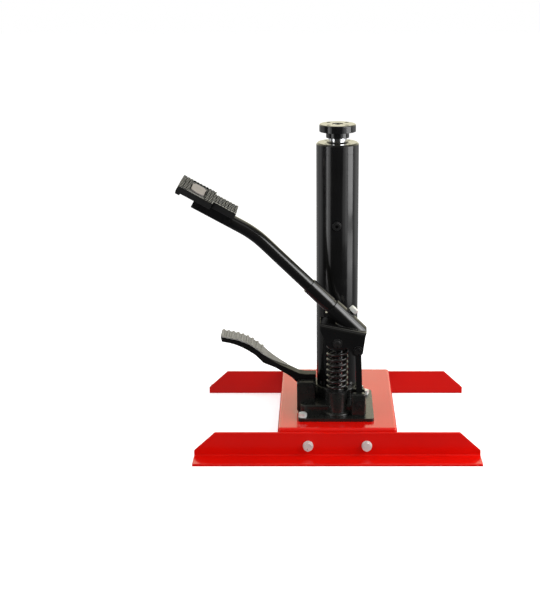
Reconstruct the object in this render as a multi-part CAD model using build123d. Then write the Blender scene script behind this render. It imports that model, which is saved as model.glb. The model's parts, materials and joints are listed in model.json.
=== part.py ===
from build123d import *
import math
import os

# Foot-pumped hydraulic ram column on a two-rail floor base, in millimetres.
# Origin: on the floor, midway between the rails and midway along them.
# +X to the operator's right, +Y away from the pump side, +Z up.

os.makedirs("parts", exist_ok=True)

# ---- floor base ----
RAIL_LEG = 40.0
RAIL_FOOT = -4.0            # the rails reach below the plane that the rest is drawn from
RAIL_WALL = 4.0
FOOTPRINT_SHIFT = 9.4       # from the rails' middle to the middle of rails and foot pad together
RAIL_LENGTH = 475.0
RAIL_GAP = 290.0            # between the two upright webs
CHAMFER_X = 35.0
CHAMFER_Z = 32.0
CHANNEL_WIDTH = 198.0
CHANNEL_TOP = 46.0
CHANNEL_WALL = 4.0
CHANNEL_FOOT = 6.0          # lower edge of the folded flanges
RAIL_BOLT_X = 48.6
RAIL_BOLT_Z = 17.2

# ---- pump body casting ----
PLATE_X0 = -65.5
PLATE_X1 = 61.5
PLATE_Y0 = -116.0
PLATE_Y1 = 20.0
PLATE_TOP = 51.5
BASE_BOLTS = ((-58.0, -106.0), (-50.0, 2.0), (50.0, 2.0))   # the fourth corner carries the link lug
BODY_TOP = 67.0
COLLAR_R = 42.0
COLLAR_TOP = 86.0
LUG_X0 = 24.0
LUG_X1 = 47.0
LUG_TOP = 91.5
CHECK_X = (-12.0, 12.0)
CHECK_Z = 58.0
OVERLOAD_X = 38.5
OVERLOAD_Y = -52.0

# ---- hydraulic column ----
COLUMN_Y = -28.0
COLUMN_R = 35.0
COLUMN_WALL = 3.0
COLUMN_FOOT = 64.0
COLUMN_TOP = 486.0
CYLINDER_R = 23.0
CYLINDER_BORE = 19.0
CYLINDER_FOOT = 58.0
CYLINDER_TOP = 478.0
ROD_R = 15.0
ROD_TOP = 520.0
FILLER_Z = 369.0
FILLER_ANGLE = 268.0

# ---- pump ----
PUMP_Y = -90.0
BOSS_R = 16.5
BOSS_TOP = 91.5
PLUNGER_R = 8.0
PLUNGER_FOOT = 80.0
PIN_Z = 183.5               # plunger cross pin, pedal up
PIN_R = 5.0
PIVOT_X = 34.5              # upper link pin, pedal up
PIVOT_Z = 170.5
LINK_X = 37.5               # lower link pin
LINK_Z = 77.0
SPRING_FOOT = 93.0
SPRING_TOP = 170.0
SPRING_R = 15.5
SPRING_WIRE = 2.7
EAR_IN = 18.8
EAR_OUT = 23.3
FIT = 0.05                  # radial running clearance
SLOT_R = 5.25               # half width of the slotted ear holes
SLOT_NEAR = -1.45
SLOT_FAR = 0.5

# ---- pump pedal arm: two straights joined by a bend ----
ARM_ANGLE = 44.5            # degrees below horizontal through the socket
PAD_ANGLE = 29.0            # degrees below horizontal under the pad
ARM_X = -45.1
ARM_Z = 275.2               # a point on the socket axis
PAD_X = -154.8
PAD_Z = 374.5               # a point on the upper straight
PAD_STEP = -60.4            # along the pad: wide part ends
PAD_END = -19.5
PAD_TUBE_END = -87.8
PAD_SCREW = -26.0
BADGE_U = -89.7
ARM_R = 11.0
SLEEVE_R = 13.0
SOCKET_R = 15.0
CLAMP_S = 80.0              # clamp bolt, along the socket axis

# ---- release pedal ----
LEVER_Y0 = -62.0
LEVER_Y1 = -43.0
TREAD_Y0 = -71.0
TREAD_Y1 = -34.5
LEVER_PIN_X = -44.0
LEVER_PIN_Z = 95.5
LEVER_BLOCK_TOP = 103.0
STEM_SEAT = 85.0
STEM_TOP = 99.3
STEM_X = -60.0
STEM_Y = -52.5


def block(x0, x1, y0, y1, z0, z1):
    centre = ((x0 + x1) / 2, (y0 + y1) / 2, (z0 + z1) / 2)
    return Pos(*centre) * Box(x1 - x0, y1 - y0, z1 - z0)


def rod_z(radius, z0, z1, x=0.0, y=0.0):
    return Pos(x, y, (z0 + z1) / 2) * Cylinder(radius, z1 - z0)


def rod_y(radius, y0, y1, x, z):
    return Pos(x, (y0 + y1) / 2, z) * Rot(90, 0, 0) * Cylinder(radius, y1 - y0)


def ring_z(outer, inner, z0, z1, x=0.0, y=0.0):
    return rod_z(outer, z0, z1, x, y) - rod_z(inner, z0 - 1, z1 + 1, x, y)


def ring_y(outer, inner, y0, y1, x, z):
    return rod_y(outer, y0, y1, x, z) - rod_y(inner, y0 - 1, y1 + 1, x, z)


def side_profile(points, y0, y1):
    outline = Polyline(*[(x, y0, z) for x, z in points], close=True)
    return extrude(make_face(outline), amount=y1 - y0, dir=(0, 1, 0))


def hex_prism(across, z0, z1):
    shape = extrude(RegularPolygon(across / 2, 6, major_radius=False), amount=z1 - z0)
    return Pos(0, 0, z0) * shape


def hex_bolt(across, head, radius, length):
    top = hex_prism(across, 0, head) & Pos(0, 0, head / 2) * Cone(across * 0.62 + head, across * 0.50, head)
    return top + rod_z(radius, -length, 0)


def stand(shape, point, direction):
    return Plane(origin=point, z_dir=direction) * shape


def coil(radius, wire, z0, z1, turns, x, y):
    height = z1 - z0 - 2 * wire
    path = Helix(pitch=height / turns, height=height, radius=radius)
    section = Plane(origin=path @ 0, z_dir=path % 0) * Circle(wire)
    return Pos(x, y, z0 + wire) * sweep(section, path=path, is_frenet=True)


def along(angle):
    return Vector(math.cos(math.radians(angle)), 0, -math.sin(math.radians(angle)))


def above(angle):
    return Vector(math.sin(math.radians(angle)), 0, math.cos(math.radians(angle)))


def socket_point(s, n=0.0, y=PUMP_Y):
    return Vector(ARM_X, y, ARM_Z) + along(ARM_ANGLE) * s + above(ARM_ANGLE) * n


def pad_point(u, n=0.0, y=PUMP_Y):
    return Vector(PAD_X, y, PAD_Z) + along(PAD_ANGLE) * u + above(PAD_ANGLE) * n


def socket_rod(radius, s0, s1):
    shape = rod_z(radius, 0, s1 - s0)
    return stand(shape, socket_point(s0), along(ARM_ANGLE))


def pad_block(u0, u1, half_width, n0, n1):
    frame = Plane(origin=pad_point(0), x_dir=along(PAD_ANGLE), z_dir=above(PAD_ANGLE))
    return frame * block(u0, u1, -half_width, half_width, n0, n1)


# ------------------------------------------------------------------ floor base

def rail(side):
    inner = side * RAIL_GAP / 2
    web = side * (RAIL_GAP / 2 + RAIL_WALL)
    toe = side * (RAIL_GAP / 2 + RAIL_LEG)
    start = -RAIL_LENGTH / 2
    flange = RAIL_FOOT + RAIL_WALL
    section = make_face(Polyline((start, inner, RAIL_FOOT), (start, toe, RAIL_FOOT), (start, toe, flange),
                                 (start, web, flange), (start, web, RAIL_LEG), (start, inner, RAIL_LEG),
                                 close=True))
    for y, z, radius in ((toe, flange, 2.0), (web, flange, 1.5), (web, RAIL_LEG, 1.5), (inner, RAIL_FOOT, 2.5)):
        section = fillet(section.vertices().sort_by_distance((start, y, z))[0], radius)
    shape = extrude(section, amount=RAIL_LENGTH, dir=(1, 0, 0))
    for end in (-1, 1):
        tip = end * RAIL_LENGTH / 2
        corner = [(tip - end * CHAMFER_X, RAIL_LEG + 1), (tip + end, RAIL_LEG + 1),
                  (tip + end, RAIL_LEG - CHAMFER_Z), (tip, RAIL_LEG - CHAMFER_Z),
                  (tip - end * CHAMFER_X, RAIL_LEG)]
        shape = shape - side_profile(corner, inner - 10, inner + 10)
    for x in (-RAIL_BOLT_X, RAIL_BOLT_X):
        shape = shape - rod_y(5.5, inner - 8, inner + 8, x, RAIL_BOLT_Z)
    return shape


def cross_channel():
    half = CHANNEL_WIDTH / 2
    reach = RAIL_GAP / 2
    outer = block(-half, half, -reach, reach, CHANNEL_FOOT, CHANNEL_TOP)
    outer = fillet(outer.edges().filter_by(Axis.Z), 6)
    outer = fillet(outer.faces().sort_by(Axis.Z)[-1].edges(), 5)
    wall = CHANNEL_WALL
    inner = block(-half + wall, half - wall, -reach + wall, reach - wall, CHANNEL_FOOT - 1, CHANNEL_TOP - wall)
    inner = fillet(inner.edges().filter_by(Axis.Z), 2.5)
    inner = fillet(inner.faces().sort_by(Axis.Z)[-1].edges(), 1.5)
    shape = outer - inner
    for x in (-RAIL_BOLT_X, RAIL_BOLT_X):
        shape = shape - rod_y(5.5, -reach - 1, reach + 1, x, RAIL_BOLT_Z)
    for x, y in BASE_BOLTS:
        shape = shape - rod_z(4.5, CHANNEL_TOP - 8, CHANNEL_TOP + 2, x, y)
    return shape


def at_rail_bolts(make):
    pieces = []
    for side in (-1, 1):
        for x in (-RAIL_BOLT_X, RAIL_BOLT_X):
            pieces.append(make(side, x))
    return Compound(children=pieces)


def rail_bolt(side, x):
    face = side * (RAIL_GAP / 2 + RAIL_WALL + 1.6)
    return stand(hex_bolt(14, 6.4, 5, 24), (x, face, RAIL_BOLT_Z), (0, side, 0))


def rail_washer(side, x):
    face = side * (RAIL_GAP / 2 + RAIL_WALL)
    return stand(ring_z(8.7, 5.3, 0, 1.6), (x, face, RAIL_BOLT_Z), (0, side, 0))


def rail_nut(side, x):
    face = side * (RAIL_GAP / 2 - CHANNEL_WALL)
    nut = hex_prism(16, 0, 8) - rod_z(5.02, -1, 9)
    return stand(nut, (x, face, RAIL_BOLT_Z), (0, -side, 0))


def at_base_bolts(piece):
    pieces = []
    for x, y in BASE_BOLTS:
        pieces.append(Pos(x, y, 0) * piece)
    return Compound(children=pieces)


def base_bolt():
    return Pos(0, 0, PLATE_TOP + 1.4) * hex_bolt(12, 5.3, 4, 22)


def base_washer():
    return ring_z(7.0, 4.2, PLATE_TOP, PLATE_TOP + 1.4)


def base_nut():
    top = CHANNEL_TOP - CHANNEL_WALL
    return hex_prism(13, top - 6.5, top) - rod_z(4.02, top - 8, top + 1)


# ------------------------------------------------------------------ pump body

def pump_block():
    plate = block(PLATE_X0, PLATE_X1, PLATE_Y0, PLATE_Y1, CHANNEL_TOP, PLATE_TOP)
    plate = fillet(plate.edges().filter_by(Axis.Z), 5)
    step = block(-62, 49, -95, -12, CHANNEL_TOP, BODY_TOP)
    step = fillet(step.edges().filter_by(Axis.Z), 12)
    step = fillet(step.faces().sort_by(Axis.Z)[-1].edges(), 3)
    collar = rod_z(COLLAR_R, CHANNEL_TOP, COLLAR_TOP, 0, COLUMN_Y)
    collar = fillet(collar.faces().sort_by(Axis.Z)[-1].edges(), 3)
    boss = rod_z(BOSS_R, CHANNEL_TOP, BOSS_TOP, 0, PUMP_Y)
    boss = chamfer(boss.faces().sort_by(Axis.Z)[-1].edges(), 1)
    foot = rod_z(BOSS_R + 5, CHANNEL_TOP, 57, 0, PUMP_Y)
    foot = fillet(foot.faces().sort_by(Axis.Z)[-1].edges(), 3)
    web = block(-9, 9, PUMP_Y, COLUMN_Y - 30, CHANNEL_TOP, 79)
    shape = plate + step + collar + boss + foot + web + link_lug() + release_block() + overload_boss()
    shape = shape - rod_z(COLUMN_R + FIT, COLUMN_FOOT - 2, COLLAR_TOP + 1, 0, COLUMN_Y)
    shape = shape - rod_z(CYLINDER_R + FIT, CYLINDER_FOOT - 2, COLLAR_TOP, 0, COLUMN_Y)
    shape = shape - rod_z(11 + FIT, 56, BOSS_TOP + 1, 0, PUMP_Y)
    # delivery and suction drillings, each with its ball, spring and plug
    for x in CHECK_X:
        shape = shape - rod_y(3.0, -4, 15, x, CHECK_Z)
        shape = shape - rod_y(4.5 + FIT, 5, 15, x, CHECK_Z)
    shape = shape - overload_bore() - release_bore()
    shape = shape - rod_z(8.5, 80, COLLAR_TOP + 1, OVERLOAD_X, OVERLOAD_Y)
    shape = shape - rod_y(PIN_R + 0.02, -110, -70, LINK_X, LINK_Z)
    for x, y in BASE_BOLTS:
        shape = shape - rod_z(4.5, CHANNEL_TOP - 1, PLATE_TOP + 1, x, y)
    return shape


def link_lug():
    lug = block(LUG_X0, LUG_X1, -107, -73, CHANNEL_TOP, LUG_TOP)
    lug = fillet(lug.edges().filter_by(Axis.Z), 2.5)
    top = lug.edges().filter_by(Axis.Y).sort_by(Axis.Z)[-2:]
    lug = fillet(top, 3.5)
    return lug - block(LUG_X0 - 1, LUG_X1 + 1, PUMP_Y - 7, PUMP_Y + 7, 62, LUG_TOP + 1)


def release_block():
    front = block(-68, -37, -80, -64, PLATE_TOP, LEVER_BLOCK_TOP)
    front = fillet(front.edges().filter_by(Axis.Y).sort_by(Axis.Z)[-2:], 4)
    front = fillet(front.edges().filter_by(Axis.Z), 2)
    rear = block(-54, -36, -41, -33, PLATE_TOP, LEVER_BLOCK_TOP)
    rear = fillet(rear.edges().filter_by(Axis.Y).sort_by(Axis.Z)[-2:], 6)
    seat = rod_z(8, PLATE_TOP - 2, STEM_SEAT, STEM_X + 1, STEM_Y)
    side = block(-60, -38, -80, -34, PLATE_TOP - 2, 72)
    shape = front + rear + seat + side
    return shape - rod_y(4 + 0.02, -82, -32, LEVER_PIN_X, LEVER_PIN_Z)


def overload_boss():
    return rod_z(8.5, BODY_TOP - 4, 80, OVERLOAD_X, OVERLOAD_Y)


def overload_bore():
    return rod_z(5 + FIT, 55, 81, OVERLOAD_X, OVERLOAD_Y)


def release_bore():
    guide = rod_z(3 + FIT, 56, STEM_SEAT + 2, STEM_X, STEM_Y)
    return guide + rod_z(4 + FIT, 51.5, 62.3, STEM_X, STEM_Y)


def bottom_gasket():
    return ring_z(COLUMN_R, CYLINDER_R + 1, COLUMN_FOOT - 2, COLUMN_FOOT, 0, COLUMN_Y)


def check_ball(x):
    return Pos(x, -1.2, CHECK_Z) * Sphere(2.7)


def check_spring(x):
    spring = coil(2.0, 0.4, 0, 3.4, 3, 0, 0)
    return stand(spring, (x, 1.6, CHECK_Z), (0, 1, 0))


def check_plug(x):
    plug = rod_z(4.5, 0, 8.3) + hex_prism(8, 8.3, 12)
    return stand(plug, (x, 5.0, CHECK_Z), (0, 1, 0))


# ------------------------------------------------------------------ column

def reservoir_tube():
    tube = ring_z(COLUMN_R, COLUMN_R - COLUMN_WALL, COLUMN_FOOT, COLUMN_TOP, 0, COLUMN_Y)
    spot_face = filler_place(rod_z(8.2, -0.9, 3))
    return tube - spot_face - filler_place(rod_z(4.5 + FIT, -12, 12))


def filler_place(shape):
    turn = math.radians(FILLER_ANGLE)
    direction = (math.cos(turn), math.sin(turn), 0)
    point = ((COLUMN_R) * math.cos(turn), COLUMN_Y + (COLUMN_R) * math.sin(turn), FILLER_Z)
    return stand(shape, point, direction)


def filler_plug():
    head = fillet(rod_z(6.6, 0.3, 4.2).faces().sort_by(Axis.Z)[-1].edges(), 1)
    plug = rod_z(4.5, -5, 0.3) + head - hex_prism(5, 1.8, 6)
    return filler_place(plug)


def filler_washer():
    return filler_place(ring_z(7.6, 4.6, -0.9, 0.3))


def pressure_cylinder():
    return ring_z(CYLINDER_R, CYLINDER_BORE, CYLINDER_FOOT, CYLINDER_TOP, 0, COLUMN_Y)


def cylinder_gasket():
    return ring_z(CYLINDER_R, CYLINDER_BORE - 2, CYLINDER_FOOT - 2, CYLINDER_FOOT, 0, COLUMN_Y)


def suction_strainer():
    tube = ring_z(3.2, 2.2, COLUMN_FOOT, 92, 0, COLUMN_Y + 27.5)
    return tube


def top_gland():
    cap = rod_z(COLUMN_R, COLUMN_TOP, COLUMN_TOP + 16, 0, COLUMN_Y)
    cap = chamfer(cap.faces().sort_by(Axis.Z)[-1].edges(), 2.5)
    neck = rod_z(COLUMN_R - COLUMN_WALL - FIT, COLUMN_TOP - 24, COLUMN_TOP, 0, COLUMN_Y)
    shape = cap + neck
    shape = shape - rod_z(CYLINDER_R + FIT, COLUMN_TOP - 25, CYLINDER_TOP + 0.2, 0, COLUMN_Y)
    shape = shape - rod_z(ROD_R + FIT, COLUMN_TOP - 26, COLUMN_TOP + 20, 0, COLUMN_Y)
    shape = shape - rod_z(18.5, COLUMN_TOP - 4, COLUMN_TOP + 4, 0, COLUMN_Y)
    shape = shape - rod_z(18.5, COLUMN_TOP + 11, COLUMN_TOP + 17, 0, COLUMN_Y)
    for turn in range(4):
        angle = math.radians(45 + 90 * turn)
        x = 26.5 * math.cos(angle)
        y = COLUMN_Y + 26.5 * math.sin(angle)
        shape = shape - rod_z(2.5, COLUMN_TOP + 11, COLUMN_TOP + 17, x, y)
    return shape


def rod_seal():
    return ring_z(18.4, ROD_R + 0.02, COLUMN_TOP - 3.8, COLUMN_TOP + 3.8, 0, COLUMN_Y)


def wiper_seal():
    ring = ring_z(18.4, ROD_R + 0.02, COLUMN_TOP + 11.2, COLUMN_TOP + 17.5, 0, COLUMN_Y)
    return chamfer(ring.faces().sort_by(Axis.Z)[-1].edges().sort_by(SortBy.RADIUS)[-1:], 1.5)


def ram_rod():
    rod = rod_z(ROD_R, 80, ROD_TOP, 0, COLUMN_Y)
    rod = chamfer(rod.faces().sort_by(Axis.Z)[-1].edges(), 1)
    return rod - rod_z(5.02, ROD_TOP - 22, ROD_TOP + 1, 0, COLUMN_Y) - rod_z(6.02, 78, 95, 0, COLUMN_Y)


def ram_piston():
    shape = rod_z(CYLINDER_BORE - FIT, 64, 80, 0, COLUMN_Y) + rod_z(6, 80, 94, 0, COLUMN_Y)
    return shape - ring_z(20, 15, 66, 71, 0, COLUMN_Y) - ring_z(20, 16.5, 73, 78, 0, COLUMN_Y)


def piston_seal():
    return ring_z(CYLINDER_BORE - 0.03, 15.02, 66.2, 70.8, 0, COLUMN_Y)


def piston_bearing():
    return ring_z(CYLINDER_BORE - 0.03, 16.52, 73.2, 77.8, 0, COLUMN_Y)


def ram_head():
    disc = rod_z(30, ROD_TOP, ROD_TOP + 12, 0, COLUMN_Y)
    disc = fillet(disc.faces().sort_by(Axis.Z)[-1].edges(), 2)
    hub = rod_z(19, ROD_TOP - 10, ROD_TOP, 0, COLUMN_Y)
    shape = disc + hub - rod_z(ROD_R + 0.02, ROD_TOP - 11, ROD_TOP, 0, COLUMN_Y)
    shape = shape - rod_z(5.5, ROD_TOP - 1, ROD_TOP + 13, 0, COLUMN_Y)
    shape = shape - rod_z(9.2, ROD_TOP + 4, ROD_TOP + 13, 0, COLUMN_Y)
    for turn in range(4):
        angle = math.radians(45 + 90 * turn)
        x = 21 * math.cos(angle)
        y = COLUMN_Y + 21 * math.sin(angle)
        shape = shape - rod_z(3.5, ROD_TOP - 1, ROD_TOP + 13, x, y)
    return shape


def head_screw():
    screw = rod_z(8, ROD_TOP + 4, ROD_TOP + 11, 0, COLUMN_Y) + rod_z(5, ROD_TOP - 18, ROD_TOP + 4, 0, COLUMN_Y)
    return screw - Pos(0, COLUMN_Y, 0) * hex_prism(8, ROD_TOP + 7, ROD_TOP + 12)


# ------------------------------------------------------------------ pump

def pump_barrel():
    barrel = rod_z(11, 56, BOSS_TOP + 5, 0, PUMP_Y)
    barrel = chamfer(barrel.faces().sort_by(Axis.Z)[-1].edges(), 1)
    barrel = barrel - rod_z(PLUNGER_R + FIT, 57.5, BOSS_TOP + 6, 0, PUMP_Y)
    return barrel - rod_z(9.6, 85, 90, 0, PUMP_Y)


def plunger_seal():
    return ring_z(9.5, PLUNGER_R + 0.02, 85.2, 89.8, 0, PUMP_Y)


def plunger():
    rod = rod_z(PLUNGER_R, PLUNGER_FOOT, PIN_Z + 9, 0, PUMP_Y)
    rod = fillet(rod.faces().sort_by(Axis.Z)[-1].edges(), 3)
    rod = chamfer(rod.faces().sort_by(Axis.Z)[0].edges(), 0.8)
    shoulder = rod_z(10.5, SPRING_TOP + 2.5, SPRING_TOP + 5.0, 0, PUMP_Y)
    return rod + shoulder - rod_y(PIN_R + 0.02, PUMP_Y - 12, PUMP_Y + 12, 0, PIN_Z)


def plunger_pin():
    pin = rod_y(PIN_R, PUMP_Y - 26, PUMP_Y + 25.4, 0, PIN_Z)
    return chamfer(pin.edges().filter_by(GeomType.CIRCLE), 0.5)


def pin_clips(x, z, y_front, y_back):
    clips = []
    for y in (y_front, y_back):
        clip = ring_y(8, PIN_R + 0.02, y - 0.5, y + 0.5, x, z)
        clip = clip - block(x - 1.6, x + 1.6, y - 1, y + 1, z - 9, z)
        clips.append(clip)
    return Compound(children=clips)


def lower_spring_seat():
    seat = ring_z(17.8, 11.2, BOSS_TOP, BOSS_TOP + 1.5, 0, PUMP_Y)
    return seat


def upper_spring_seat():
    cup = ring_z(17.8, PLUNGER_R + 0.02, SPRING_TOP, SPRING_TOP + 2.5, 0, PUMP_Y)
    return cup + ring_z(12.3, PLUNGER_R + 0.02, SPRING_TOP - 4, SPRING_TOP, 0, PUMP_Y)


def pump_spring():
    return coil(SPRING_R, SPRING_WIRE, SPRING_FOOT, SPRING_TOP, 7.5, 0, PUMP_Y)


def link_bar():
    y0 = PUMP_Y - 6.7
    y1 = PUMP_Y + 6.7
    upper = rod_y(9, y0, y1, PIVOT_X, PIVOT_Z)
    lower = rod_y(10, y0, y1, LINK_X, LINK_Z)
    bar = side_profile([(PIVOT_X - 5, PIVOT_Z), (PIVOT_X + 5, PIVOT_Z),
                        (LINK_X + 5, LINK_Z), (LINK_X - 5, LINK_Z)], y0, y1)
    shape = upper + lower + bar
    shape = shape - rod_y(PIN_R + FIT, y0 - 1, y1 + 1, PIVOT_X, PIVOT_Z)
    return shape - rod_y(PIN_R + FIT, y0 - 1, y1 + 1, LINK_X, LINK_Z)


def link_lower_pin():
    return rod_y(PIN_R, PUMP_Y - 19.5, PUMP_Y + 19.5, LINK_X, LINK_Z)


def link_upper_pin():
    return rod_y(PIN_R, PUMP_Y - 26, PUMP_Y + 26, PIVOT_X, PIVOT_Z)


def link_spacers():
    spacers = []
    for y0, y1 in ((-EAR_IN, -7.0), (7.0, EAR_IN)):
        spacers.append(ring_y(7.5, PIN_R + 0.02, PUMP_Y + y0, PUMP_Y + y1, PIVOT_X, PIVOT_Z))
    return Compound(children=spacers)


# ------------------------------------------------------------------ pump pedal

EAR_OUTLINE = [(-28.5, 217), (48, 200.2), (46, 195), (43, 174), (41.5, 161.5), (25, 161.5),
               (22.5, 169), (18, 174.5), (-12, 174.5), (-17, 179), (-28.5, 206)]


def web_top(x):
    (x0, z0), (x1, z1) = EAR_OUTLINE[:2]
    return z0 + (z1 - z0) * (x - x0) / (x1 - x0)


def pedal_bracket():
    shape = side_profile(EAR_OUTLINE, PUMP_Y - EAR_OUT, PUMP_Y + EAR_OUT)
    corner = shape.edges().filter_by(Axis.Y).sort_by(Axis.Z)[:2]
    shape = fillet(corner, 7)
    gap = [(-40, web_top(-40) - 4.6), (60, web_top(60) - 4.6), (60, 140), (-40, 140)]
    shape = shape - side_profile(gap, PUMP_Y - EAR_IN, PUMP_Y + EAR_IN)
    long_edges = shape.edges().filter_by(
        lambda e: e.length > 70 and e.center().Z > 206 and abs(abs(e.center().Y - PUMP_Y) - EAR_OUT) < 0.1)
    shape = fillet(long_edges, 6.5)
    tube = socket_rod(SOCKET_R, 50, 128)
    keep = [(-60, 320), (48.3, 320), (48.3, web_top(48.3) - 2), (-60, web_top(-60) - 2)]
    tube = tube & side_profile(keep, PUMP_Y - 40, PUMP_Y + 40)
    nut = stand(rod_z(7.4, SOCKET_R - 3, 18.0), socket_point(CLAMP_S), above(ARM_ANGLE))
    shape = shape + tube + nut
    shape = shape - socket_rod(12 + FIT, 40, 97)
    shape = shape - stand(rod_z(4.02, 5, 25), socket_point(CLAMP_S), above(ARM_ANGLE))
    shape = shape - rod_y(PIN_R + 0.02, PUMP_Y - 30, PUMP_Y + 30, PIVOT_X, PIVOT_Z)
    return shape - pin_slot()


def pin_slot():
    reach = math.hypot(PIVOT_X, PIN_Z - PIVOT_Z)
    lift = math.atan2(PIN_Z - PIVOT_Z, PIVOT_X)
    ends = []
    for extra in (SLOT_NEAR, SLOT_FAR):
        ends.append((PIVOT_X - (reach + extra) * math.cos(lift), PIVOT_Z + (reach + extra) * math.sin(lift)))
    (x0, z0), (x1, z1) = ends
    nx = math.sin(lift) * SLOT_R
    nz = math.cos(lift) * SLOT_R
    y0 = PUMP_Y - 30
    y1 = PUMP_Y + 30
    middle = side_profile([(x0 + nx, z0 + nz), (x1 + nx, z1 + nz), (x1 - nx, z1 - nz), (x0 - nx, z0 - nz)], y0, y1)
    return rod_y(SLOT_R, y0, y1, x0, z0) + middle + rod_y(SLOT_R, y0, y1, x1, z1)


def arm_sleeve():
    shape = socket_rod(SLEEVE_R, -1.5, 44) + socket_rod(12, 44, 96)
    return shape - socket_rod(ARM_R + 0.04, -3, 101)


def arm_tube():
    start = socket_point(94)
    corner_x = (ARM_Z + ARM_X * math.tan(math.radians(ARM_ANGLE)) - PAD_Z
                - PAD_X * math.tan(math.radians(PAD_ANGLE)))
    corner_x = corner_x / (math.tan(math.radians(ARM_ANGLE)) - math.tan(math.radians(PAD_ANGLE)))
    corner_z = PAD_Z - (corner_x - PAD_X) * math.tan(math.radians(PAD_ANGLE))
    end = pad_point(PAD_TUBE_END)
    path = FilletPolyline((start.X, PUMP_Y, start.Z), (corner_x, PUMP_Y, corner_z), (end.X, PUMP_Y, end.Z),
                          radius=170)
    outer = sweep(Plane(origin=path @ 0, z_dir=path % 0) * Circle(ARM_R), path=path)
    inner = sweep(Plane(origin=path @ 0, z_dir=path % 0) * Circle(ARM_R - 2.5), path=path)
    shape = outer - inner
    hole = pad_point(PAD_SCREW)
    return shape - rod_y(3.02, PUMP_Y - 20, PUMP_Y + 20, hole.X, hole.Z)


def clamp_bolt():
    bolt = hex_bolt(13, 7.0, 4, 6.0)
    return stand(bolt, socket_point(CLAMP_S, 18.1), above(ARM_ANGLE))


def pad_profile(points, half_width):
    frame = Plane(origin=pad_point(0), x_dir=along(PAD_ANGLE), z_dir=above(PAD_ANGLE))
    return frame * side_profile(points, -half_width, half_width)


def pad_plate():
    shape = pad_block(-116, PAD_STEP - 0.5, 41, 11.05, 14) + pad_block(PAD_STEP - 2, PAD_END - 2, 26, 11.05, 14)
    ear = pad_block(PAD_TUBE_END + 4, PAD_END - 1, 2.2, -7, 11.05)
    for side in (-1, 1):
        shape = shape + ear.moved(Location((0, side * 13.4, 0)))
    hole = pad_point(PAD_SCREW)
    return shape - rod_y(3.02, PUMP_Y - 20, PUMP_Y + 20, hole.X, hole.Z)


def pad_rubber():
    outline = [(-120.5, 21), (PAD_STEP, 21), (PAD_STEP, 10.5), (-112.5, 10.5), (-112.5, 7.5), (-120, 7.5), (-121.4, 12.5)]
    shape = pad_profile(outline, 44) + pad_block(PAD_STEP - 2, PAD_END, 29, 10.5, 21)
    shape = shape - pad_block(-116.05, PAD_STEP - 0.45, 41.05, 11, 14.05)
    shape = shape - pad_block(PAD_STEP - 3, PAD_END - 1.95, 26.05, 9, 14.05)
    shape = shape - pad_block(-112.5, PAD_STEP - 0.45, 41.05, 9, 12) - pad_block(PAD_TUBE_END - 3, -10, 16, 9, 11.05)
    for row in range(-4, 5):
        reach = -10 if abs(row) < 3 else PAD_STEP - 1
        groove = pad_block(-125, reach, 2.7, 18.9, 22)
        shape = shape - groove.moved(Location((0, 9.7 * row, 0)))
    for step in range(17):
        u = -114.5 + 5.6 * step
        shape = shape - pad_block(u, u + 1.3, 50, 19.8, 22)
    return shape - pad_block(BADGE_U - 14, BADGE_U + 14, 40, 19.4, 22)


def pad_badge():
    badge = pad_block(BADGE_U - 11.5, BADGE_U + 11.5, 26, 19.4, 21.2)
    across = badge.edges().filter_by(lambda e: abs(e.length - 1.8) < 0.05)
    return fillet(across, 11)


def pad_screws():
    point = pad_point(PAD_SCREW)
    shape = rod_y(3, PUMP_Y - 15.7, PUMP_Y + 15.7, point.X, point.Z)
    for side in (-1, 1):
        y = PUMP_Y + side * 17.0
        shape = shape + rod_y(4.5, y - 1.4, y + 1.4, point.X, point.Z)
    return shape


# ------------------------------------------------------------------ release pedal

LEVER_TOP = [(-195.5, 180.6), (-182.8, 178), (-168, 175), (-155, 170.3), (-144, 164.6), (-134.6, 157.9),
             (-125.4, 150.3), (-117.6, 143.7), (-108, 136.5), (-96.7, 129.2), (-83, 121.5), (-64, 112.4),
             (-55, 110.8), (-36, 110.8)]
LEVER_UNDER = [(-36, 101), (-55, 99.5), (-65, 99.5), (-68.5, 97), (-71.9, 100), (-76, 104.5), (-85, 111),
               (-94.2, 117.4), (-103.4, 124), (-120, 132.2), (-124.5, 134.6), (-129.3, 140), (-138.5, 149),
               (-151.5, 157.6), (-160.7, 162.5), (-170, 166.6), (-181, 169.9), (-193.5, 172.1)]
TREAD_WALL = 1.0


def release_lever():
    profile = LEVER_TOP + LEVER_UNDER
    wide = side_profile(profile, TREAD_Y0, TREAD_Y1)
    mid = (LEVER_Y0 + LEVER_Y1) / 2
    plan = [(-210, TREAD_Y0), (-126, TREAD_Y0), (-84, LEVER_Y0), (-20, LEVER_Y0), (-20, LEVER_Y1),
            (-84, LEVER_Y1), (-126, TREAD_Y1), (-210, TREAD_Y1)]
    outline = extrude(make_face(Polyline(*[(x, y, 60) for x, y in plan], close=True)), amount=150)
    shape = wide & outline
    hub = rod_y(7.5, LEVER_Y0, LEVER_Y1, LEVER_PIN_X, LEVER_PIN_Z)
    cheek = block(LEVER_PIN_X - 7.5, LEVER_PIN_X + 7.5, LEVER_Y0, LEVER_Y1, LEVER_PIN_Z, 102)
    shape = shape + hub + cheek
    return shape - rod_y(4 + FIT, mid - 20, mid + 20, LEVER_PIN_X, LEVER_PIN_Z)


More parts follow.
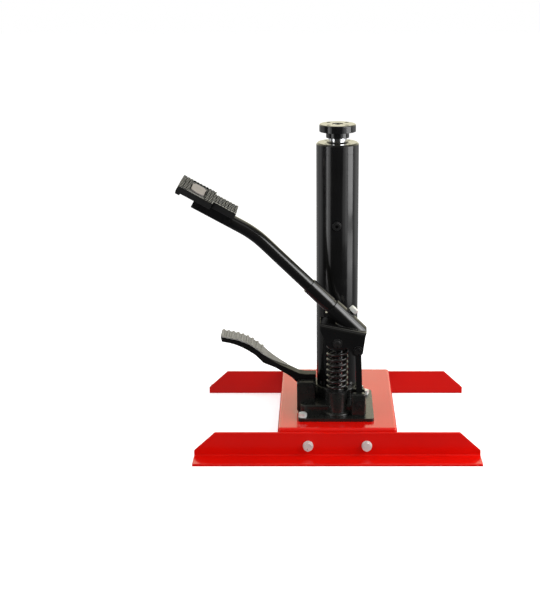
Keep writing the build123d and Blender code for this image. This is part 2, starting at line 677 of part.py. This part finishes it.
def release_tread():
    lower = LEVER_TOP[:11]
    upper = []
    for x, z in reversed(lower):
        upper.append((x, z + TREAD_WALL))
    shape = side_profile(lower + upper, TREAD_Y0, TREAD_Y1)
    plan = [(-210, TREAD_Y0), (-124, TREAD_Y0), (-81, -49), (-81, -44), (-124, TREAD_Y1), (-210, TREAD_Y1)]
    shape = shape & extrude(make_face(Polyline(*[(x, y, 60) for x, y in plan], close=True)), amount=150)
    for step in range(9):
        x = -192.5 + 8.1 * step
        z = tread_height(x) + 0.4
        shape = shape + rod_y(2.4, TREAD_Y0 - 0.8, TREAD_Y1 + 0.8, x, z)
    under = side_profile(lower + [(-83, 90), (-205, 90), (-205, 180.6)], TREAD_Y0 - 2, TREAD_Y1 + 2)
    return shape - under


def tread_height(x):
    for (x0, z0), (x1, z1) in zip(LEVER_TOP, LEVER_TOP[1:]):
        if x0 <= x <= x1:
            return z0 + (z1 - z0) * (x - x0) / (x1 - x0)
    return LEVER_TOP[-1][1]


def release_pin():
    return rod_y(4, -82.2, -30.8, LEVER_PIN_X, LEVER_PIN_Z)


def release_stem():
    stem = rod_z(3, 62.5, STEM_TOP, STEM_X, STEM_Y)
    stem = fillet(stem.faces().sort_by(Axis.Z)[-1].edges(), 2.6)
    return stem + rod_z(5.5, STEM_TOP - 4.2, STEM_TOP - 2.4, STEM_X, STEM_Y)


def release_spring():
    return coil(4.3, 0.6, STEM_SEAT, STEM_TOP - 4.2, 4, STEM_X, STEM_Y)


def release_ball():
    return Pos(STEM_X, STEM_Y, 58.85) * Sphere(3.6)


def overload_plug():
    return rod_z(5, 70, 80, OVERLOAD_X, OVERLOAD_Y) + Pos(OVERLOAD_X, OVERLOAD_Y, 0) * hex_prism(12, 80, 86)


def overload_spring():
    return coil(3.2, 0.6, 61.0, 70.0, 4, OVERLOAD_X, OVERLOAD_Y)


def overload_ball():
    return Pos(OVERLOAD_X, OVERLOAD_Y, 58.1) * Sphere(2.9)


PARTS = {
    "front_rail": lambda: rail(-1),
    "rear_rail": lambda: rail(1),
    "cross_channel": cross_channel,
    "rail_bolts": lambda: at_rail_bolts(rail_bolt),
    "rail_washers": lambda: at_rail_bolts(rail_washer),
    "rail_nuts": lambda: at_rail_bolts(rail_nut),
    "pump_block": pump_block,
    "base_bolts": lambda: at_base_bolts(base_bolt()),
    "base_washers": lambda: at_base_bolts(base_washer()),
    "base_nuts": lambda: at_base_bolts(base_nut()),
    "bottom_gasket": bottom_gasket,
    "check_balls": lambda: Compound(children=[check_ball(x) for x in CHECK_X]),
    "check_springs": lambda: Compound(children=[check_spring(x) for x in CHECK_X]),
    "check_plugs": lambda: Compound(children=[check_plug(x) for x in CHECK_X]),
    "overload_plug": overload_plug,
    "overload_spring": overload_spring,
    "overload_ball": overload_ball,
    "release_ball": release_ball,
    "reservoir_tube": reservoir_tube,
    "filler_plug": filler_plug,
    "filler_washer": filler_washer,
    "pressure_cylinder": pressure_cylinder,
    "cylinder_gasket": cylinder_gasket,
    "suction_strainer": suction_strainer,
    "top_gland": top_gland,
    "rod_seal": rod_seal,
    "wiper_seal": wiper_seal,
    "ram_rod": ram_rod,
    "ram_piston": ram_piston,
    "piston_seal": piston_seal,
    "piston_bearing": piston_bearing,
    "ram_head": ram_head,
    "head_screw": head_screw,
    "pump_barrel": pump_barrel,
    "plunger_seal": plunger_seal,
    "plunger": plunger,
    "plunger_pin": plunger_pin,
    "plunger_pin_clips": lambda: pin_clips(0, PIN_Z, PUMP_Y - EAR_OUT - 0.9, PUMP_Y + EAR_OUT + 0.9),
    "lower_spring_seat": lower_spring_seat,
    "upper_spring_seat": upper_spring_seat,
    "pump_spring": pump_spring,
    "link_bar": link_bar,
    "link_lower_pin": link_lower_pin,
    "link_lower_clips": lambda: pin_clips(LINK_X, LINK_Z, PUMP_Y - 17.6, PUMP_Y + 17.6),
    "link_upper_pin": link_upper_pin,
    "link_upper_clips": lambda: pin_clips(PIVOT_X, PIVOT_Z, PUMP_Y - EAR_OUT - 0.6, PUMP_Y + EAR_OUT + 0.6),
    "link_spacers": link_spacers,
    "pedal_bracket": pedal_bracket,
    "arm_sleeve": arm_sleeve,
    "arm_tube": arm_tube,
    "clamp_bolt": clamp_bolt,
    "pad_plate": pad_plate,
    "pad_rubber": pad_rubber,
    "pad_badge": pad_badge,
    "pad_screws": pad_screws,
    "release_lever": release_lever,
    "release_tread": release_tread,
    "release_pin": release_pin,
    "release_stem": release_stem,
    "release_spring": release_spring,
}

# The origin is on the floor at the centre of the whole object's footprint.
on_floor = Location((FOOTPRINT_SHIFT, 0, -RAIL_FOOT))
for name, make in PARTS.items():
    placed = [solid.moved(on_floor) for solid in make().solids()]
    export_step(Compound(children=placed) if len(placed) > 1 else placed[0], "parts/" + name + ".step")
    print(name)
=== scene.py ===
"""Foot-pumped hydraulic column on a two-rail base: finishes, weld beads, floor, lights and camera.

Lengths are in metres. The front is -Y, the pump's side of the column.
"""

import json
import math
import random

import bmesh
import bpy
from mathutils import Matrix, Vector


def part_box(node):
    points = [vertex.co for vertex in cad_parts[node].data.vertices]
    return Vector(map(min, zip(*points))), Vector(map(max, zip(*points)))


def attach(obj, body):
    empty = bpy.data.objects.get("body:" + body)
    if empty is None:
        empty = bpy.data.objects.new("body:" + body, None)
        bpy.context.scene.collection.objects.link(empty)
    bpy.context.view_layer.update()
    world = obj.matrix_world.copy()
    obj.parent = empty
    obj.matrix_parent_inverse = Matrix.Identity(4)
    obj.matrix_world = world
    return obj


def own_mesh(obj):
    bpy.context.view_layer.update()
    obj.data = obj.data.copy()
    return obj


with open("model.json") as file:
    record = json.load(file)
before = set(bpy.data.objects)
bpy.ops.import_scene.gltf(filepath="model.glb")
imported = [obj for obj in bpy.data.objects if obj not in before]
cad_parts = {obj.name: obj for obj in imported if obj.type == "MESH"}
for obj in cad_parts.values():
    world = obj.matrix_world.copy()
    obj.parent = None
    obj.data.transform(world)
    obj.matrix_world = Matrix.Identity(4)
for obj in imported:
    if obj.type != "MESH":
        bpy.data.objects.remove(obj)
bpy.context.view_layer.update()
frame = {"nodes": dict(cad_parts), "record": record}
nodes = frame["nodes"]
scene = bpy.context.scene
scene.view_settings.view_transform = "Standard"
scene.view_settings.look = "None"

column_low, column_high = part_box("reservoir_tube")
COLUMN = (column_low + column_high) / 2
CHANNEL_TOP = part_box("cross_channel")[1].z
WHITE = (1, 1, 1, 1)


# ---------------------------------------------------------------- material helpers

class Finish:
    """One Principled material, with the few node patterns that the finishes below share."""

    def __init__(self, name, roughness, metallic=0.0, **sockets):
        self.material = bpy.data.materials.new(name)
        self.material.use_nodes = True
        self.tree = self.material.node_tree
        self.shader = self.tree.nodes["Principled BSDF"]
        self.put("Roughness", roughness)
        self.put("Metallic", metallic)
        for key, value in sockets.items():
            self.put(key.replace("_", " "), value)
        self.coords = self.add("ShaderNodeTexCoord")
        self.normal = None

    def put(self, socket, value):
        self.shader.inputs[socket].default_value = value

    def add(self, kind, **settings):
        node = self.tree.nodes.new(kind)
        for key, value in settings.items():
            setattr(node, key, value)
        return node

    def link(self, output, target):
        self.tree.links.new(output, target)

    def noise(self, scale, detail, rough=0.5, stretch=None):
        node = self.add("ShaderNodeTexNoise")
        node.inputs["Scale"].default_value = scale
        node.inputs["Detail"].default_value = detail
        node.inputs["Roughness"].default_value = rough
        source = self.coords.outputs["Object"]
        if stretch:
            mapping = self.add("ShaderNodeMapping")
            mapping.inputs["Scale"].default_value = stretch
            self.link(source, mapping.inputs["Vector"])
            source = mapping.outputs["Vector"]
        self.link(source, node.inputs["Vector"])
        return node.outputs["Fac"]

    def cells(self, scale, smooth=0.6):
        node = self.add("ShaderNodeTexVoronoi", feature="SMOOTH_F1")
        node.inputs["Scale"].default_value = scale
        node.inputs["Smoothness"].default_value = smooth
        self.link(self.coords.outputs["Object"], node.inputs["Vector"])
        return node.outputs["Distance"]

    def remap(self, value, low, high, to_low, to_high):
        node = self.add("ShaderNodeMapRange")
        set_range(node, low, high, to_low, to_high)
        self.link(value, node.inputs["Value"])
        return node.outputs["Result"]

    def spread(self, value, to_low, to_high):
        """A noise's middle range, where most of it lies, stretched over the two values."""
        return self.remap(value, 0.3, 0.7, to_low, to_high)

    def times(self, a, b):
        node = self.add("ShaderNodeMath", operation="MULTIPLY")
        self.link(a, node.inputs[0])
        self.link(b, node.inputs[1])
        return node.outputs[0]

    def dot(self, vector, other):
        """The dot product, where the other is an output too or a fixed direction."""
        node = self.add("ShaderNodeVectorMath", operation="DOT_PRODUCT")
        self.link(vector, node.inputs[0])
        if isinstance(other, tuple):
            node.inputs[1].default_value = other
        else:
            self.link(other, node.inputs[1])
        return node.outputs["Value"]

    def blend(self, factor, a, b):
        """Colour a where factor is 0, b where it is 1. Each is a colour or another blend's output."""
        node = self.add("ShaderNodeMix", data_type="RGBA")
        self.link(factor, node.inputs[0])
        for socket, value in ((node.inputs[6], a), (node.inputs[7], b)):
            if isinstance(value, tuple):
                socket.default_value = value + (1.0,)
            else:
                self.link(value, socket)
        return node.outputs[2]

    def color(self, output):
        self.link(output, self.shader.inputs["Base Color"])

    def roughness(self, output):
        self.link(output, self.shader.inputs["Roughness"])

    def specular(self, output):
        self.link(output, self.shader.inputs["Specular IOR Level"])

    def rounded(self, radius):
        """The surface's normal as if its corners had that radius."""
        node = self.add("ShaderNodeBevel", samples=4)
        node.inputs["Radius"].default_value = radius
        return node.outputs["Normal"]

    def soft_edges(self, radius):
        self.normal = self.rounded(radius)

    def edge_mask(self, radius, low=0.04, high=0.35):
        """1 on outside and inside corners of the shape, 0 on its flats, whatever the view."""
        flat = self.add("ShaderNodeNewGeometry").outputs["Normal"]
        return self.remap(self.dot(self.rounded(radius), flat), 1 - low, 1 - high, 0, 1)

    def hollows(self, distance, low, high):
        """1 deep in grooves and inside corners, 0 out in the open; used as the mask for painted shade."""
        node = self.add("ShaderNodeAmbientOcclusion", samples=8)
        node.inputs["Distance"].default_value = distance
        return self.remap(node.outputs["AO"], low, high, 1, 0)

    def facing(self, direction, low, high):
        """1 on faces that look along the direction in the piece's own space, 0 on the rest."""
        return self.remap(self.dot(self.coords.outputs["Normal"], direction), low, high, 0, 1)

    def bump(self, height, strength, distance):
        node = self.add("ShaderNodeBump")
        node.inputs["Strength"].default_value = strength
        node.inputs["Distance"].default_value = distance
        self.link(height, node.inputs["Height"])
        self.link(self.normal, node.inputs["Normal"])
        self.normal = node.outputs["Normal"]

    def done(self):
        self.link(self.normal, self.shader.inputs["Normal"])
        return self.material


def set_range(node, low, high, to_low, to_high):
    for key, number in (("From Min", low), ("From Max", high), ("To Min", to_low), ("To Max", to_high)):
        node.inputs[key].default_value = number


def grey(value):
    return (value, value, value)


# ---------------------------------------------------------------- finishes

def paint(name, color, deep, chip, roughness, peel, edge=0.0009, specular=0.5, coat=0.3):
    """Gloss paint over metal: orange peel, slow colour drift, rub marks, and chips on the corners."""
    f = Finish(name, roughness, Coat_Weight=coat, Coat_Roughness=0.06, Specular_IOR_Level=specular)
    f.soft_edges(edge)
    body = f.blend(f.spread(f.noise(9, 3), 0, 1), color, deep)
    wear = f.times(f.edge_mask(edge), f.remap(f.noise(380, 5, 0.7), 0.64, 0.72, 0, 0.8))
    f.color(f.blend(wear, body, chip))
    f.roughness(f.spread(f.noise(35, 6, 0.6), roughness * 0.8, roughness * 1.3))
    f.bump(f.noise(700, 2), peel, 0.00008)
    f.bump(f.noise(26, 2), 0.03, 0.0006)
    return f.done()


def casting(name, color, deep):
    """Painted sand casting: grainy skin and a few pits under the paint."""
    f = Finish(name, 0.3, Coat_Weight=0.2, Coat_Roughness=0.1, Specular_IOR_Level=0.42)
    f.soft_edges(0.0012)
    f.color(f.blend(f.spread(f.noise(30, 5), 0, 1), color, deep))
    f.roughness(f.spread(f.noise(180, 6, 0.7), 0.2, 0.42))
    f.bump(f.noise(520, 6, 0.7), 0.22, 0.0003)
    f.bump(f.cells(240), 0.14, 0.0003)
    return f.done()


def plated(name, color, tint, roughness, grain=0.12, stretch=None, metallic=1.0):
    """Bare or plated metal: fine machining grain and slightly clouded plating."""
    f = Finish(name, roughness, metallic)
    f.soft_edges(0.0004)
    f.color(f.blend(f.remap(f.noise(90, 4), 0.35, 0.65, 0, 1), color, tint))
    f.roughness(f.spread(f.noise(240, 5, 0.6, stretch), roughness * 0.7, roughness * 1.5))
    f.bump(f.noise(1500, 3, 0.6, stretch), grain, 0.0001)
    return f.done()


def moulded(name, color, deep, roughness, grain, pebble=1300, specular=0.5):
    """Moulded rubber or plastic: fine pebbled skin and uneven dullness."""
    f = Finish(name, roughness, Specular_IOR_Level=specular)
    f.soft_edges(0.0005)
    f.color(f.blend(f.spread(f.noise(55, 5), 0, 1), color, deep))
    f.roughness(f.spread(f.noise(320, 4), roughness * 0.85, roughness * 1.15))
    f.bump(f.cells(pebble, 0.4), grain, 0.0002)
    f.bump(f.noise(700, 4), 0.12, 0.0002)
    return f.done()


def scuffed(name, color, deep, worn, hollow_shade):
    """Painted tread that shoes rub: worn lighter on the ridges, and painted shade darkening the hollows.
    """
    f = Finish(name, 0.5)
    f.soft_edges(0.0005)
    body = f.blend(f.remap(f.noise(120, 6, 0.7), 0.35, 0.65, 0, 1), color, deep)
    rub = f.times(f.edge_mask(0.0012, 0.02, 0.2), f.remap(f.noise(260, 4), 0.4, 0.6, 0, 1))
    # The hollows take a near-black colour: painted shade for the grooves between the ridges.
    f.color(f.blend(f.hollows(0.005, 0.5, 0.9), f.blend(rub, body, worn), hollow_shade))
    f.roughness(f.spread(f.noise(300, 5), 0.38, 0.6))
    f.bump(f.noise(420, 6, 0.7, (2.5, 0.3, 2.5)), 0.5, 0.0006)
    f.bump(f.noise(650, 6, 0.7), 0.3, 0.0004)
    return f.done()


def studded(name, color, highlight_grey, worn, groove_shade, slope):
    """Rubber studs on a pad of that slope: a painted highlight in grey on the faces that look up the pad,
    lighter still at the rubbed edges on them, and painted shade in black between the studs, where they are
    dull too.
    """
    f = Finish(name, 0.4)
    f.soft_edges(0.0004)
    # Painted shade: the grooves between the studs take the near-black groove colour.
    groove_shade_mask = f.hollows(0.006, 0.62, 0.95)
    # Painted highlight: faces that look up the pad take the lighter grey, and the rubbed edges on them
    # lighter still.
    up = f.facing((math.sin(slope), 0, math.cos(slope)), 0.8, 0.95)
    rub = f.times(f.edge_mask(0.0009, 0.02, 0.2), f.remap(f.noise(300, 4), 0.3, 0.6, 0.5, 1))
    top = f.blend(up, color, f.blend(rub, highlight_grey, worn))
    f.color(f.blend(groove_shade_mask, top, groove_shade))
    f.specular(f.remap(groove_shade_mask, 0, 1, 0.14, 0.0))
    f.roughness(f.spread(f.noise(320, 4), 0.34, 0.46))
    f.bump(f.cells(1300, 0.4), 0.25, 0.0002)
    f.bump(f.noise(700, 4), 0.12, 0.0002)
    return f.done()


PAD_SLOPE = math.radians(29.1)

FINISHES = {
    "red_paint": paint("red_paint", (0.66, 0.0035, 0.0008), (0.58, 0.0025, 0.0006),
                       (0.15, 0.02, 0.01), 0.2, 0.08, specular=0.3),
    "black_paint": paint("black_paint", grey(0.003), (0.0055, 0.0055, 0.006), grey(0.04), 0.17, 0.08),
    "lever_black": paint("lever_black", grey(0.004), (0.008, 0.007, 0.007), grey(0.04), 0.38, 0.15,
                         specular=0.12, coat=0.0),
    "black_casting": casting("black_casting", (0.006, 0.0066, 0.006), (0.011, 0.0117, 0.0105)),
    "zinc": plated("zinc", (0.84, 0.84, 0.81), (0.70, 0.71, 0.69), 0.34, metallic=0.45),
    "bright_steel": plated("bright_steel", grey(0.60), (0.50, 0.50, 0.51), 0.22),
    "dark_steel": plated("dark_steel", grey(0.006), grey(0.014), 0.3, metallic=0.1),
    "chrome": plated("chrome", (0.86, 0.87, 0.88), (0.80, 0.81, 0.83), 0.07, 0.04, (1, 1, 0.05)),
    "spring_black": paint("spring_black", grey(0.004), grey(0.008), grey(0.06), 0.27, 0.06, 0.0002),
    # The rubber's second colour is a painted highlight on the studs' upward faces, and its fourth is the
    # painted shade between the studs.
    "rubber": studded("rubber", grey(0.012), grey(0.14), grey(0.60), grey(0.003), PAD_SLOPE),
    "seal": moulded("seal", grey(0.012), grey(0.020), 0.35, 0.1),
    "badge": moulded("badge", (0.34, 0.31, 0.295), (0.25, 0.225, 0.21), 0.5, 0.4, 500, specular=0.2),
    # The tread's last colour is the painted shade in its grooves.
    "tread_grey": scuffed("tread_grey", (0.31, 0.305, 0.295), (0.20, 0.195, 0.185),
                          (0.46, 0.455, 0.44), (0.025, 0.025, 0.024)),
    "gasket": moulded("gasket", (0.16, 0.07, 0.03), (0.10, 0.05, 0.02), 0.6, 0.3),
}

# The release lever is black too, but duller than the other pieces of its slot.
OWN_FINISH = {"release_lever": "lever_black"}

for part in frame["record"]["subparts"]:
    finish = FINISHES[OWN_FINISH.get(part["node"], part["material_slot"])]
    obj = nodes[part["node"]]
    if not obj.material_slots:
        obj.data.materials.append(finish)
    for place in obj.material_slots:
        place.material = finish


# ---------------------------------------------------------------- springs

def shorten(spring):
    """Gives the spring its own copy of its mesh."""
    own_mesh(nodes[spring])


shorten("pump_spring")
shorten("release_spring")


# ---------------------------------------------------------------- weld beads

AROUND = 10         # points round a bead
RIPPLE = 0.16       # height of its ripples, as a share of its radius
RIPPLE_TURN = 2.1   # radians of ripple from one ring to the next
UNEVEN = 0.06       # the most that chance adds or takes, as a share of its radius
TIP = 0.35          # size of an open bead's end ring, as a share of the full size
TIP_GROWTH = 0.3    # how much of the full size each ring adds from there


def bead_rings(mesh, path, radius, rng, closed):
    """One ring of points round each place on the path, square to the way it goes."""
    count = len(path)
    rings = []
    for i, here in enumerate(path):
        before = path[i - 1] if closed or i else here
        after = path[(i + 1) % count] if closed or i < count - 1 else here
        ahead = (after - before).normalized()
        side = ahead.orthogonal().normalized()
        up = ahead.cross(side)
        taper = 1.0 if closed else min(1.0, TIP + TIP_GROWTH * min(i, count - 1 - i))
        ripple = RIPPLE * math.sin(i * RIPPLE_TURN)
        size = radius * taper * (1.0 + ripple + rng.uniform(-UNEVEN, UNEVEN))
        ring = []
        for k in range(AROUND):
            turn = 2 * math.pi * k / AROUND
            across, over = size * math.cos(turn), size * math.sin(turn)
            ring.append(mesh.verts.new(here + side * across + up * over))
        rings.append(ring)
    return rings


def bead(name, body, points, radius, seed, closed=False):
    """A weld bead along the points: overlapping ripples of slightly uneven size."""
    mesh = bmesh.new()
    rings = bead_rings(mesh, [Vector(p) for p in points], radius, random.Random(seed), closed)
    pairs = list(zip(rings, rings[1:])) + ([(rings[-1], rings[0])] if closed else [])
    for a, b in pairs:
        # The second ring may start at another place round the bead, so its nearest point is used.
        first = min(range(AROUND), key=lambda k: (a[0].co - b[k].co).length)
        for k in range(AROUND):
            after = (k + 1) % AROUND
            mesh.faces.new((a[k], a[after], b[(after + first) % AROUND], b[(k + first) % AROUND]))
    if not closed:
        mesh.faces.new(rings[0])
        mesh.faces.new(rings[-1])
    bmesh.ops.recalc_face_normals(mesh, faces=mesh.faces)
    data = bpy.data.meshes.new(name)
    mesh.to_mesh(data)
    mesh.free()
    data.shade_smooth()
    obj = bpy.data.objects.new(name, data)
    scene.collection.objects.link(obj)
    smooth = obj.modifiers.new("smooth", "SUBSURF")
    smooth.levels = smooth.render_levels = 1
    obj.data.materials.append(FINISHES["black_paint"])
    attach(obj, body)


# The pump pedal's socket tube: a point on its axis above it, left of the column's axis and over the
# channel, then the way down the tube's axis, and the tube's radius.
SOCKET_LEFT = 0.0451
SOCKET_RISE = 0.2292
plunger_low, plunger_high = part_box("plunger")
SOCKET_Y = (plunger_low.y + plunger_high.y) / 2
SOCKET = Vector((COLUMN.x - SOCKET_LEFT, SOCKET_Y, CHANNEL_TOP + SOCKET_RISE))
SLOPE = math.radians(44.5)
AXIS = Vector((math.cos(SLOPE), 0, -math.sin(SLOPE)))
RAISED = Vector((math.sin(SLOPE), 0, math.cos(SLOPE)))
SOCKET_R = 0.015

# The bracket's web under the tube: its top's height over the channel at a place left of the column's
# axis, and its fall per metre to the right of that place.
WEB_TOP = 0.171
WEB_LEFT = 0.0285
WEB_FALL = 0.2196

# The web's weld goes round the tube's underside, in degrees from the tube's top.
WEB_WELD_START = 62
WEB_WELD_TURN = 236
WEB_WELD_STEPS = 80
WEB_WELD_R = 0.0021

# The clamp bolt's weld nut: how far down the axis it is from that point, and its foot's radius.
NUT_DOWN = 0.080
NUT_R = 0.0078
NUT_WELD_STEPS = 36
NUT_WELD_R = 0.0012


def web_height(x):
    return CHANNEL_TOP + WEB_TOP - WEB_FALL * (x - COLUMN.x + WEB_LEFT)


def web_weld_points():
    """Where the socket tube meets the sloping web, from one side round the underside to the other."""
    points = []
    for i in range(WEB_WELD_STEPS + 1):
        turn = math.radians(WEB_WELD_START + WEB_WELD_TURN * i / WEB_WELD_STEPS)
        rim = SOCKET + RAISED * (SOCKET_R * math.cos(turn)) + Vector((0, SOCKET_R * math.sin(turn), 0))
        gap = web_height(rim.x) - rim.z
        step = gap / (AXIS.z + WEB_FALL * AXIS.x)
        points.append(rim + AXIS * step)
    return points


def nut_weld_points():
    """Round the foot of the clamp bolt's weld nut, on the tube's top."""
    points = []
    for i in range(NUT_WELD_STEPS):
        turn = 2 * math.pi * i / NUT_WELD_STEPS
        aside = NUT_R * math.sin(turn)
        lift = math.sqrt(SOCKET_R ** 2 - aside ** 2)
        along = NUT_DOWN + NUT_R * math.cos(turn)
        points.append(SOCKET + AXIS * along + RAISED * lift + Vector((0, aside, 0)))
    return points


bead("web_weld", "pump_pedal", web_weld_points(), WEB_WELD_R, 3)
bead("nut_weld", "pump_pedal", nut_weld_points(), NUT_WELD_R, 5, closed=True)


# ---------------------------------------------------------------- floor and world

FLOOR_HALF = 8


def graded(tree, place, low, high, dim, bright):
    """A strength that rises from dim to bright as the Y of a place or direction goes from low to high."""
    split = tree.nodes.new("ShaderNodeSeparateXYZ")
    tree.links.new(place, split.inputs[0])
    ramp = tree.nodes.new("ShaderNodeMapRange")
    set_range(ramp, low, high, dim, bright)
    tree.links.new(split.outputs["Y"], ramp.inputs["Value"])
    return ramp.outputs["Result"]


def light(tree, kind, color=WHITE, strength=1.0):
    """A light shader, where the strength is a number or a graded one."""
    node = tree.nodes.new(kind)
    node.inputs["Color"].default_value = color
    if isinstance(strength, float):
        node.inputs["Strength"].default_value = strength
    else:
        tree.links.new(strength, node.inputs["Strength"])
    return node.outputs[0]


def by_ray(tree, ray, usual, special):
    """The special shader for rays of that kind and the usual one for the rest."""
    path = tree.nodes.new("ShaderNodeLightPath")
    mix = tree.nodes.new("ShaderNodeMixShader")
    tree.links.new(path.outputs[ray], mix.inputs[0])
    tree.links.new(usual, mix.inputs[1])
    tree.links.new(special, mix.inputs[2])
    return mix.outputs[0]


def make_floor():
    """A floor that looks white. To gloss it is dim in front and brighter behind, to diffuse light even."""
    corners = [(-1, -1), (1, -1), (1, 1), (-1, 1)]
    mesh = bpy.data.meshes.new("floor")
    mesh.from_pydata([(FLOOR_HALF * x, FLOOR_HALF * y, 0) for x, y in corners], [], [(0, 1, 2, 3)])
    floor = bpy.data.objects.new("floor", mesh)
    scene.collection.objects.link(floor)
    material = bpy.data.materials.new("floor")
    material.use_nodes = True
    tree = material.node_tree
    shader = tree.nodes["Principled BSDF"]
    shader.inputs["Base Color"].default_value = (0.95, 0.95, 0.95, 1)
    shader.inputs["Roughness"].default_value = 0.9
    shader.inputs["Specular IOR Level"].default_value = 0.1
    shader.inputs["Emission Color"].default_value = WHITE
    shader.inputs["Emission Strength"].default_value = 0.50
    place = tree.nodes.new("ShaderNodeTexCoord").outputs["Object"]
    gloss = light(tree, "ShaderNodeEmission", strength=graded(tree, place, -0.3, 0.7, 0.03, 0.40))
    bounce = light(tree, "ShaderNodeEmission", strength=0.45)
    surface = by_ray(tree, "Is Glossy Ray", shader.outputs[0], gloss)
    surface = by_ray(tree, "Is Diffuse Ray", surface, bounce)
    tree.links.new(surface, tree.nodes["Material Output"].inputs["Surface"])
    floor.data.materials.append(material)


def make_world():
    """White backdrop for the camera, even soft fill, and for gloss a bright rear and a dim front."""
    world = bpy.data.worlds.new("studio")
    scene.world = world
    world.use_nodes = True
    tree = world.node_tree
    tree.nodes.clear()
    out = tree.nodes.new("ShaderNodeOutputWorld")
    direction = tree.nodes.new("ShaderNodeTexCoord").outputs["Generated"]
    gloss = light(tree, "ShaderNodeBackground", (1.0, 0.95, 0.71, 1),
                  graded(tree, direction, -0.1, 0.95, 0.07, 1.5))
    fill = light(tree, "ShaderNodeBackground", strength=0.60)
    backdrop = light(tree, "ShaderNodeBackground")
    surface = by_ray(tree, "Is Glossy Ray", fill, gloss)
    surface = by_ray(tree, "Is Camera Ray", surface, backdrop)
    tree.links.new(surface, out.inputs["Surface"])


# ---------------------------------------------------------------- lamps and camera

AIM_HEIGHT = 0.25

# Name, degrees right of the front, distance from the column, height, width, tall, radiance.
PANELS = (
    ("key", 73, 0.80, 0.505, 0.50, 0.67, 4.0),
    ("key_low", 73, 0.80, 0.125, 0.50, 0.09, 2.6),
    ("key_foot", 73, 0.80, 0.040, 0.50, 0.08, 1.5),
    ("key_side", 48, 0.80, 0.46, 0.17, 0.70, 1.3),
    ("key_end", 36, 0.80, 0.46, 0.17, 0.70, 0.6),
    ("arm", 50, 1.00, 0.78, 0.45, 0.50, 4.4),
    ("strip", -56, 0.90, 0.45, 0.20, 1.00, 2.2),
    ("strip_side", -44, 0.90, 0.45, 0.17, 1.00, 1.1),
    ("rear_left", -98, 0.90, 0.45, 0.40, 0.90, 0.20),
    ("rim", 116, 1.00, 0.45, 0.50, 0.90, 0.25),
    ("top", 180, 0.40, 1.75, 1.60, 1.20, 0.5),
    ("front", 20, 1.40, 1.70, 1.10, 0.70, 0.45),
)

CAMERA_LEFT = 0.0232   # left of the column's axis
CAMERA_Y = -2.0582
CAMERA_RISE = 0.8008   # above the channel's top
CAMERA_TILT = 73.16    # degrees up from straight down


def softbox(name, angle, distance, height, width, tall, radiance):
    """An even panel that faces the column. It isn't itself in the picture."""
    turn = math.radians(angle)
    aim = Vector((COLUMN.x, COLUMN.y, AIM_HEIGHT))
    x = COLUMN.x + distance * math.sin(turn)
    y = COLUMN.y - distance * math.cos(turn)
    place = Vector((x, y, height))
    lamp = bpy.data.lights.new(name, "AREA")
    lamp.shape = "RECTANGLE"
    lamp.size = width
    lamp.size_y = tall
    lamp.energy = radiance * math.pi * width * tall
    obj = bpy.data.objects.new(name, lamp)
    obj.location = place
    obj.rotation_euler = (aim - place).to_track_quat("-Z", "Y").to_euler()
    obj.visible_camera = False
    scene.collection.objects.link(obj)


def make_camera():
    """A long lens in front of the pump, looking down. The shift is only for the framing."""
    data = bpy.data.cameras.new("camera")
    data.lens = 75.0
    data.sensor_width = 36.0
    data.shift_x = -0.089
    camera = bpy.data.objects.new("camera", data)
    camera.location = (COLUMN.x - CAMERA_LEFT, CAMERA_Y, CHANNEL_TOP + CAMERA_RISE)
    camera.rotation_euler = (math.radians(CAMERA_TILT), 0, 0)
    scene.collection.objects.link(camera)
    scene.camera = camera


make_floor()
make_world()
for panel in PANELS:
    softbox(*panel)
make_camera()
